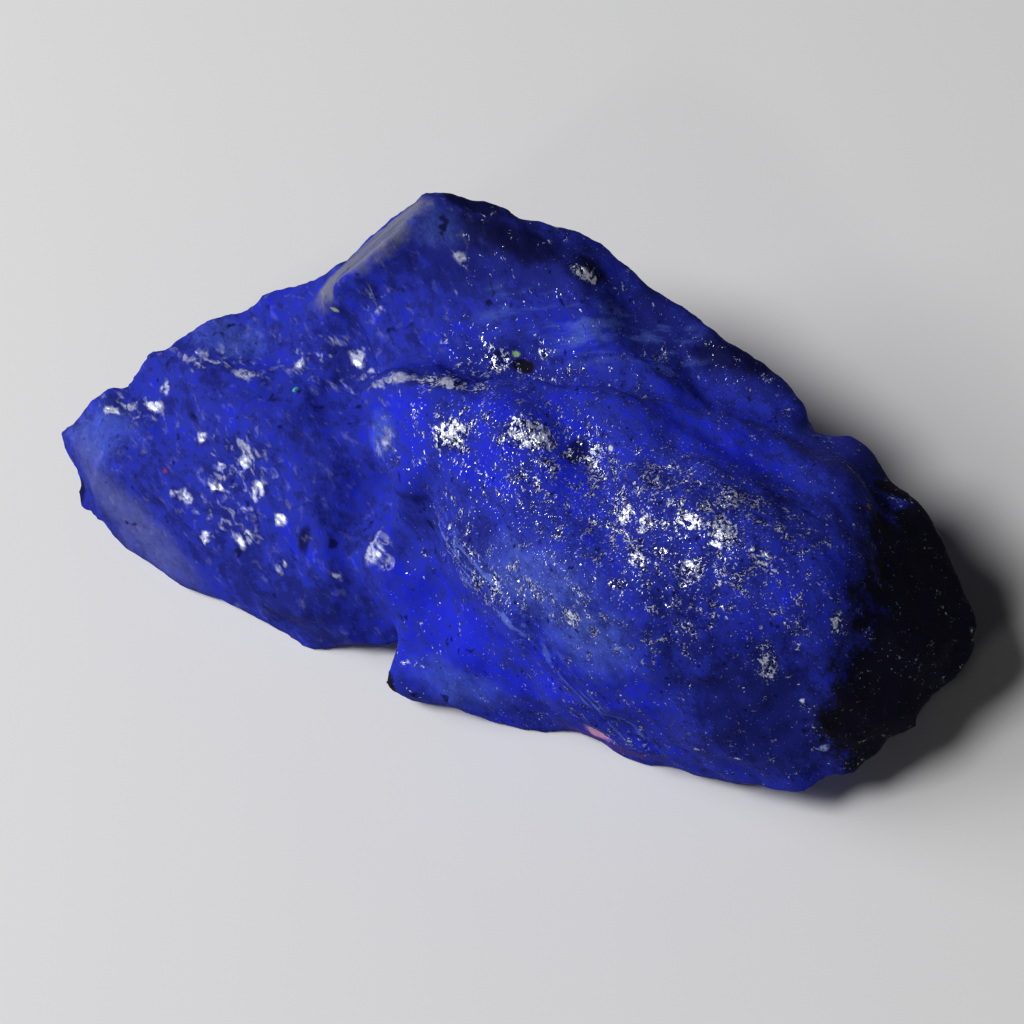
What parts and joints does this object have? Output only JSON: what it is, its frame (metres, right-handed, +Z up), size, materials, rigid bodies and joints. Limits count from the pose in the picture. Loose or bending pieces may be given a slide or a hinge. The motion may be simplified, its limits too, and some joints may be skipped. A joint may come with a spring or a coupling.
{
  "type": "rough sapphire",
  "caption": "Uncut lump of deep blue corundum: a thick domed end with a near-black tip, a side ridge with a cleaved peak, and a low tapering lobe.",
  "frame": {"origin": "middle of the stone's box, on the flat facet it lies on", "axes": "+Z up, +X along the stone to its thick dark end, +Y to the ridge with the peak"},
  "size_m": [0.059, 0.0254, 0.018],
  "materials": {
    "blue_crystal": "glassy broken crystal"
  },
  "bodies": {
    "root": {"sapphire": "blue_crystal"}
  },
  "joints": []
}
